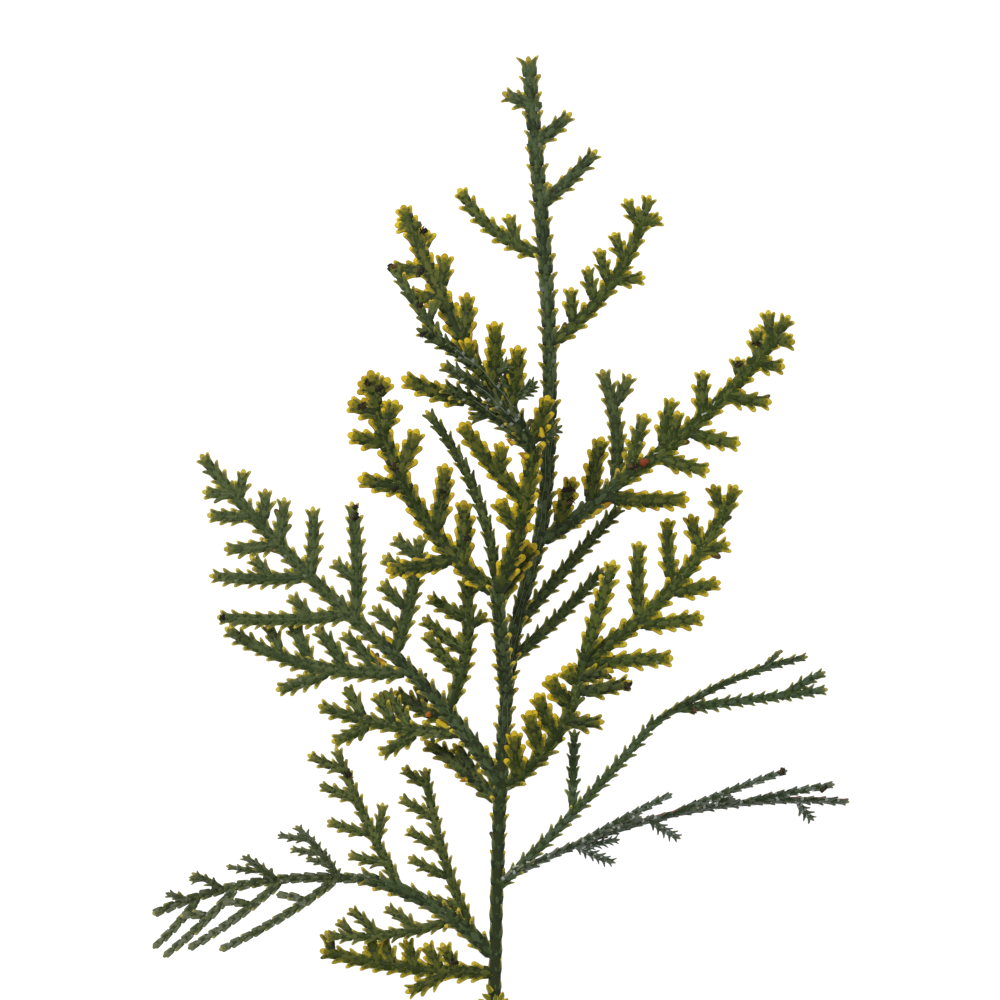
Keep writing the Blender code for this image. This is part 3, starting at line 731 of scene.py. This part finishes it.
class Clothing:
    """A node's scale leaves and marks, in one heap and by one row of draws."""

    def __init__(self, node, shoots, marks):
        self.rng = np.random.default_rng(seed_of(node))
        self.heap = Heap()
        used = [habit_of(shoot).palette for shoot in shoots] + ["marks"] * bool(marks)
        self.palettes = list(dict.fromkeys(used))
        for shoot in shoots:
            self.clothe(shoot)
        for mark in marks:
            shapes, tones = mark.shape(mark, self.rng)
            self.heap.add_plain(mark.place + shapes, FACE_RING, tones + self.first_tone("marks"))

    def first_tone(self, palette):
        """The slot of a palette's first tone; only the last one, the marks', has more of them."""
        return self.palettes.index(palette) * len(TONES)

    def tints(self, habit, youth):
        """Each leaf's own tones: flesh, root, young flesh, rim, tip and outline; the root is waxy or else a
        step darker as painted shade, and the rim and tip are painted backlight glow.
        """
        rng, n = self.rng, len(youth)
        flesh = np.where(rng.random(n) < youth * YOUNG_LIGHT, LIGHT, rng.choice(3, n, p=FLESH))
        glowing, other = rng.random(n) < habit.tipped, rng.random(n)
        dry = other < DRIED
        # A root that is not waxy is a step darker: painted shade where the leaf is tucked under another or
        # clasps the stem
        root = np.where(rng.random(n) < habit.waxed, PALE, np.maximum(flesh - 1, DARK))
        rim = np.where(dry, DRY, np.where(glowing, GLOW_RIM, YOUNG))
        bright = rng.choice((GLOW_TIP, GLOW_RIM), n, p=TIPS)
        tip = np.where(dry, DRY, np.where(glowing, bright, YOUNG))
        young = np.where(glowing, YOUNG, np.minimum(flesh + 1, LIGHT))
        return flesh, root, young, rim, tip, np.where(other > 1 - habit.browned, EDGE, rim)

    def lay(self, habit, shapes, frames, side, size, tones, ends, ring=SIDE_RING):
        """Places shapes; tones are by shape, band and sector, and ends are those of their end fans."""
        n, points = len(shapes), len(ring)
        side = np.full(n, side)
        parts = horn_faces(tones.shape[1] + 1, points)
        first, last = (np.broadcast_to(tone[:, None], (n, points)) for tone in ends)
        groups = [
            (faces, side < 0, part + self.first_tone(habit.palette))
            for faces, part in zip(parts, (first, tones.reshape(n, -1), last))
        ]
        self.heap.add(placed(shapes, frames, side, size), groups)

    def clothe(self, shoot):
        """Leaves for a shoot, from its end back to its root."""
        habit = habit_of(shoot)
        size, pitch = ORDERS[shoot.order]
        size, pitch = size * habit.size, pitch * habit.pitch
        length = shoot.path.length
        ends_at = length - (END_ROOM * size if shoot.tipped else BARE_END * pitch)
        pairs = max(1, int((ends_at - LAST_PAIR * pitch) / pitch) + 1)
        at = ends_at - pitch * np.arange(pairs)
        share = np.clip(at / length, 0, 1)
        sizes = size * (ROOT_SIZE - TIP_SMALLER * share)
        spread = np.full(pairs, habit.spread, float)
        if shoot.tipped:
            sizes[0] *= LAST_SIZE
            spread[0] *= LAST_SPREAD
        if shoot.order == "leader":
            sizes = size * (LEADER_SIZE + LEADER_LARGER * share)
            spread = habit.spread * np.clip(share * OPENS - SHUT, LEAST, 1)
        youth = np.clip(YOUNG_FULL - (length - at - YOUNG_END) / (YOUNG_PAIRS * pitch), 0, 1)
        youth = youth * (YOUNGEST if shoot.tipped else 0)
        self.side_pairs(shoot, habit, at, sizes, spread, youth)
        stands = [(at - FACE_BACK * pitch, youth, sizes)]
        if shoot.tipped:
            last = np.array([ends_at - LAST_FACE_BACK * pitch])
            stands.append((last, youth[:1], sizes[:1] * LAST_FACE))
        self.face_pairs(shoot, habit, stands)
        if shoot.tipped:
            self.end_leaf(shoot, habit, size)
        for k in range(habit.strands):
            self.strand(shoot, habit, size)

    def side_pairs(self, shoot, habit, at, sizes, spread, youth):
        """Side leaves on the left and then on the right."""
        frames = shoot.path.frames(at)
        for side in 1, -1:
            blunt = np.clip(self.rng.normal(habit.blunt, BLUNT_VARIES, len(at)), 0, BLUNTEST)
            shapes = side_leaves(spread, blunt, habit, self.rng)
            own = self.tints(habit, youth)
            tones = side_tones(own, habit, self.rng)
            self.lay(habit, shapes, frames, side, sizes, tones, (own[1], own[4]))

    def face_pairs(self, shoot, habit, stands):
        """Flat leaves on top and then below; a stand is places, youths and sizes."""
        for turn in 1, -1:
            for at, youth, sizes in stands:
                place, ahead, left, up = shoot.path.frames(at)
                own = self.tints(habit, youth)
                tones = face_tones(own, self.rng)
                shapes = face_leaves(len(at), self.rng)
                frames = place, ahead, left, up * turn
                self.lay(habit, shapes, frames, turn, sizes, tones, own[:2], FACE_RING)

    def end_leaf(self, shoot, habit, size):
        """The bud at a shoot's tip."""
        own = self.tints(habit, np.ones(1))
        tones = end_tones(own, self.rng)
        shapes = end_leaves(np.full(1, habit.blunt), self.rng)
        frames = shoot.path.frames([shoot.path.length - END_BACK * size])
        self.lay(habit, shapes, frames, 1, np.full(1, size), tones, (own[2], own[4]))

    def strand(self, shoot, habit, size):
        """One pale strand that wavers along a shoot's top."""
        rng, length = self.rng, shoot.path.length
        samples = max(STRAND_LEAST, round(length / SAMPLE))
        at = np.linspace(rng.uniform(*STARTS), rng.uniform(*ENDS), samples) * length
        across = rng.uniform(*ASIDE) * size + WAVER * np.sin(at * rng.uniform(*WAVES))
        points = tube(shoot.path, at, STRAND_HALF, STRAND_HALF, across, STRAND_HEIGHT * size, FACE_RING)
        self.heap.add_plain(points, FACE_RING, np.array([self.first_tone(habit.palette) + PALE]))


# A stem inside its leaves: its half height at size 1, how much thinner its end is, how many mm short it
# stops, its fewest rings; and its furrows' depth, number and sway, in radians and in radians a mm
CORE_HEIGHT, CORE_THINNER, CORE_STOP, CORE_LEAST = 0.4, 0.25, 0.8, 3
FURROW, FURROWS, SWAY, SWAYS = 0.05, 6, 0.9, 0.8


def stems(node, shoots, finish):
    """The stems inside the leaves, furrowed like young bark."""
    heap = Heap()
    for shoot in shoots:
        habit = habit_of(shoot)
        size = ORDERS[shoot.order][0] * habit.size
        rings = max(CORE_LEAST, round(shoot.path.length / SAMPLE))
        at = np.linspace(0, shoot.path.length - CORE_STOP, rings + 2)
        share = (1 - CORE_THINNER * np.linspace(0, 1, rings + 2))[:, None]
        turn = SWAY * np.sin(at[:, None] * SWAYS)
        furrowed = size * share * (1 + FURROW * np.sin(FURROWS * STEM_RING[None] + turn))
        points = tube(shoot.path, at, habit.body * furrowed, CORE_HEIGHT * furrowed, 0, 0, STEM_RING)
        heap.add_plain(points, STEM_RING, np.zeros(1, int))
    return heap.piece(node + "_twigs", [finish])


# ---------------- marks

# What else is on the sprig: x and y in mm, its turn from +x in degrees, and its length in mm
HUSKS = (
    (-20.4, 25, 60, 1.8), (-24, 21.6, 140, 1.6), (-19, 4.1, 20, 1.5), (-9.5, 7.1, 200, 2),
    (-22.8, 2.9, 240, 1.5), (-19, 11.4, 300, 1.5), (-4.1, -1.2, 30, 1.6), (-15.5, 34.3, 160, 1.6),
    (-13.9, 43.7, 190, 1.5), (-12.9, 38.6, 210, 1.4), (-13.6, 51.5, 200, 1.6), (43.2, 32.6, 100, 1.3),
    (40.6, 29.1, 110, 1.4), (-23.8, -40.8, 220, 1.6), (-6, -72.3, 190, 1.6), (48.5, -40.5, 300, 1.4),
    (55.3, -45.1, 320, 1.4), (33.2, -30.9, 250, 1.3), (-19, 47.1, 170, 1.5), (-23.6, 4.3, 100, 1.2),
    (-21.6, 25.8, 100, 1.5), (-49.3, -14.5, 150, 1.3), (21.8, -26.9, 330, 1.8), (11.4, 7.3, 70, 2.2),
    (12.4, 4.6, 50, 2), (23, 11.3, 20, 1.9),
)
BLOOMS = (
    (2.2, -56.5, 30, 1.3), (5, -57.8, 10, 1), (8.2, -59.3, 20, 1.4), (36.4, 21.6, 50, 1),
    (34.7, 20.1, 40, 1.1), (26.4, 14.1, 30, 0.9),
)
THREADS = ((32.8, 26.7, 150, 2.4), (19, 11.3, 300, 1.5))
RED_BUDS = ((24.6, 12.9, 40, 2),)
ORANGE_BUDS = ((-12.9, -31.4, 80, 1),)
LOBES = (
    (-9.6, -33.1, -37, 3.4), (-6, -42.5, 185, 2.2), (-21.6, -21.2, 120, 2.2), (-20.2, -22.3, 130, 2.4),
    (-18.7, -18.9, 125, 3), (17.9, 4.2, 10, 2.7), (16.2, 3.1, 14, 3.4), (13.4, 1.4, 14, 3.2),
    (10.9, 0, 12, 2.9), (4.7, 1, 115, 3), (1.8, 15, 150, 2.2), (4, 12.7, 160, 2.6),
    (7, 16.7, 100, 2.5),
)
LEAFLETS = (
    (-2.4, -79.4, 140, 2.4), (-1.9, -78.1, 112, 2), (0.3, -79.4, 62, 2.2), (-0.8, -79.6, 90, 2.2),
    (1.1, -80.2, 35, 2), (-2.9, -80.4, 160, 2),
)

# A mark's horns: where their tips start to round, their rings, the factors of their length, their tips' rise
# in mm, and how much narrower these are
HORN_TIP, HORN_RINGS, HORN_LENGTHS, HORN_RISES, HORN_NARROWER = 0.7, 4, (0.75, 1.2), (0.1, 0.5), 0.4
# A lobe's half width as a share of its length, and what its rim adds to that and its flesh takes off
LOBE_WIDTH, LOBE_RIM, LOBE_FLESH = 0.2, 0.12, 0.08
LOBE_ABOVE, LEAFLET_ABOVE, LEAFLET_SCALE = 0.12, 0.1, (0.85, 0.85, 1)  # of the flesh over or to its rim
HUSK_CHANCES = 0.55, 0.35, 0.1  # dark, middle and pale

# A mark set down: what shapes it, its place in mm, its turn in degrees and its length in mm
Mark = namedtuple("Mark", "shape place turn length")


def bent_horns(mark, rng, count, width, thick, curl, fan=0.7, centred=1):
    """Horns that fan out and curl, each centred on the mark or, at 0, rooted in it."""
    u, closing = stations(HORN_TIP, HORN_RINGS)
    length = mark.length * rng.uniform(*HORN_LENGTHS, (count, 1))
    fanned = np.radians(mark.turn) + rng.uniform(-fan, fan, (count, 1)) * (count > 1)
    heading = fanned + curl * rng.choice((-1, 1), (count, 1)) * u
    step = length / u.shape[1]
    centre = np.stack([np.cumsum(np.cos(heading), 1) * step, np.cumsum(np.sin(heading), 1) * step], -1)
    rise = rng.uniform(*HORN_RISES, (count, 1)) * u
    centre = np.concatenate([centre - centre.mean(1, keepdims=True) * centred, rise[..., None]], -1)
    width = width * closing * (1 - HORN_NARROWER * u)
    return horns(centre, turned(centre), width, thick * closing, FACE_RING)


def husk(mark, rng):
    """A dried twiglet end: hooked claws round a short core."""
    tones = rng.choice((DARK_HUSK, HUSK, PALE_HUSK), 6, p=HUSK_CHANCES)
    claws = bent_horns(mark, rng, 4, width=0.17, thick=0.14, curl=1.9, fan=0.9, centred=0.35)
    core = bent_horns(mark, rng, 2, width=0.42, thick=0.2, curl=0.6, fan=1.2)
    return np.concatenate([claws, core]), tones


def thread(mark, rng):
    """A pale, curled thread."""
    return bent_horns(mark, rng, 1, width=0.1, thick=0.08, curl=2.2), np.array([THREAD])


def bloom(mark, rng):
    """Two flecks of white wax."""
    return bent_horns(mark, rng, 2, width=0.12, thick=0.05, curl=0.3, fan=0.3), np.full(2, WAX)


def lobe(mark, rng):
    """A translucent leaf: its gold and the amber rim under it are painted backlight that shines through it.
    """
    half, alike = LOBE_WIDTH * mark.length, np.random.default_rng(SEED)
    rim = bent_horns(mark, rng, 1, width=half + LOBE_RIM, thick=0.16, curl=0.3)
    flesh = bent_horns(mark, alike, 1, width=half - LOBE_FLESH, thick=0.2, curl=0.1)
    return np.concatenate([rim, flesh + (0, 0, LOBE_ABOVE)]), np.array([GLOW_AMBER, GLOW_GOLD])


def leaflet(mark, rng):
    """A young leaf at the cut end, with a yellow rim under it of painted backlight glow."""
    rim = bent_horns(mark, rng, 1, width=0.62, thick=0.16, curl=0.3)
    flesh = bent_horns(mark, rng, 1, width=0.44, thick=0.2, curl=0.1)
    return np.concatenate([rim, flesh * LEAFLET_SCALE + (0, 0, LEAFLET_ABOVE)]), np.array([GLOW_GOLD, YOUNG_LEAF])


def bud(tone):
    """What shapes a bud in a tone: four fat scales, close together."""

    def shaped(mark, rng):
        return bent_horns(mark, rng, 4, width=0.62, thick=0.5, curl=0.2, fan=0.5), np.full(4, tone)

    return shaped


# The kinds of mark: what shapes one, its height over its shoot's line and its reach from that in mm, and
# where each one is
KINDS = (
    (husk, 0.2, 0.5, HUSKS),
    (bloom, 0.5, 0.5, BLOOMS),
    (thread, 0.2, 0.5, THREADS),
    (bud(RED_BUD), 0.5, 0.5, RED_BUDS),
    (bud(ORANGE_BUD), 0.5, 0.5, ORANGE_BUDS),
    (lobe, -0.2, 2.0, LOBES),
    (leaflet, 0.5, 2.0, LEAFLETS),
)
NEAR, NEARER = 1.6, 0.2  # mm from a mark within which shoots bear it, or beyond the nearest one


def set_down(shoots):
    """By node, the marks, each on the topmost shoot near its place."""
    places = np.concatenate([shoot.path.points[:-1] for shoot in shoots])
    owners = np.concatenate([np.full(len(shoot.path.points) - 1, k) for k, shoot in enumerate(shoots)])
    marks = {}
    for shape, above, strays, listed in KINDS:
        for x, y, turn, length in listed:
            apart = np.hypot(places[:, 0] - x, places[:, 1] - y)
            near = apart < max(NEAR, apart.min() + NEARER)
            best = np.argmax(np.where(near, places[:, 2], -np.inf))
            off = np.array([x, y, places[best, 2]]) - places[best]
            spot = places[best] + off * min(1, strays / apart[best]) + (0, 0, above)
            marks.setdefault(shoots[owners[best]].node, []).append(Mark(shape, spot, turn, length))
    return marks


# ---------------- the scene

TABLE_HALF = 3.0  # m
# Opal acrylic over lamps: bright of itself, so that shadows on it are faint
TABLE_COLOUR, TABLE_GLOW, TABLE_STRENGTH = "#a0a0a0", "#ffffff", 0.95
TABLE_ROUGHNESS, TABLE_SPECULAR = 0.6, 0.1
WORLD_COLOUR, WORLD_STRENGTH = "#ffffff", 0.45
LAMP_PLACE, LAMP_SIZE, LAMP_POWER = np.array([-0.45, 0.5, 0.9]), 0.5, 7  # m, m and W
# The camera's distance from the leader, the width it sees there, the leader's height, its view's middle and
# its reach, in m; and its sensor's width in mm
CAMERA_DISTANCE, SEEN, LEADER_HEIGHT, VIEW_MIDDLE, CAMERA_REACH, SENSOR = 4.0, 0.17, 0.012, 0.0051, 10, 36


def floor():
    """A white light table under the sprig."""
    made = blank("opal_acrylic")
    surface = add(
        made.node_tree, "BsdfPrincipled", Base_Color=(*linear(TABLE_COLOUR), 1), Roughness=TABLE_ROUGHNESS,
        Specular_IOR_Level=TABLE_SPECULAR, Emission_Color=(*linear(TABLE_GLOW), 1),
        Emission_Strength=TABLE_STRENGTH,
    )
    add(made.node_tree, "OutputMaterial", Surface=surface.outputs[0])
    mesh = bpy.data.meshes.new("floor")
    corners = ((-1, -1), (1, -1), (1, 1), (-1, 1))
    mesh.from_pydata([(x * TABLE_HALF, y * TABLE_HALF, 0) for x, y in corners], [], [(0, 1, 2, 3)])
    mesh.materials.append(made)
    table = put("floor", mesh)


def camera():
    """Straight down, and so far off that height hardly changes size."""
    data = bpy.data.cameras.new("camera")
    data.sensor_width = SENSOR
    data.lens = SENSOR * CAMERA_DISTANCE / SEEN
    data.clip_end = CAMERA_REACH
    made = put("camera", data)
    made.location = (0, VIEW_MIDDLE, CAMERA_DISTANCE + LEADER_HEIGHT)
    bpy.context.scene.camera = made


def lights():
    """A white surround, and a soft lamp from the upper left."""
    world = bpy.data.worlds.new("studio")
    world.use_nodes = True
    background = world.node_tree.nodes["Background"]
    background.inputs["Color"].default_value = (*linear(WORLD_COLOUR), 1)
    background.inputs["Strength"].default_value = WORLD_STRENGTH
    bpy.context.scene.world = world
    data = bpy.data.lights.new("key", "AREA")
    data.size, data.energy = LAMP_SIZE, LAMP_POWER
    made = put("key", data)
    made.location = x, y, z = LAMP_PLACE
    made.rotation_euler = (0, math.acos(z / np.linalg.norm(LAMP_PLACE)), math.atan2(y, x))
    bpy.context.scene.view_settings.view_transform = "Standard"


def main():
    """Each node's leaves and stems in place of its solid, and the table, camera and light."""
    finishes = make_finishes()
    shoots = [laid_flat(shoot) for shoot in grow()]
    marks = set_down(shoots)
    for node in frame["nodes"]:
        own = [shoot for shoot in shoots if shoot.node == node]
        clothing = Clothing(node, own, marks.get(node, []))
        slots = [finish for palette in clothing.palettes for finish in finishes[palette]]
        leaves = clothing.heap.piece(node + "_leaves", slots)
        for piece in leaves, stems(node, own, finishes["marks"][BARK]):
            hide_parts(node)
            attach(piece, "root")
    floor()
    camera()
    lights()


main()
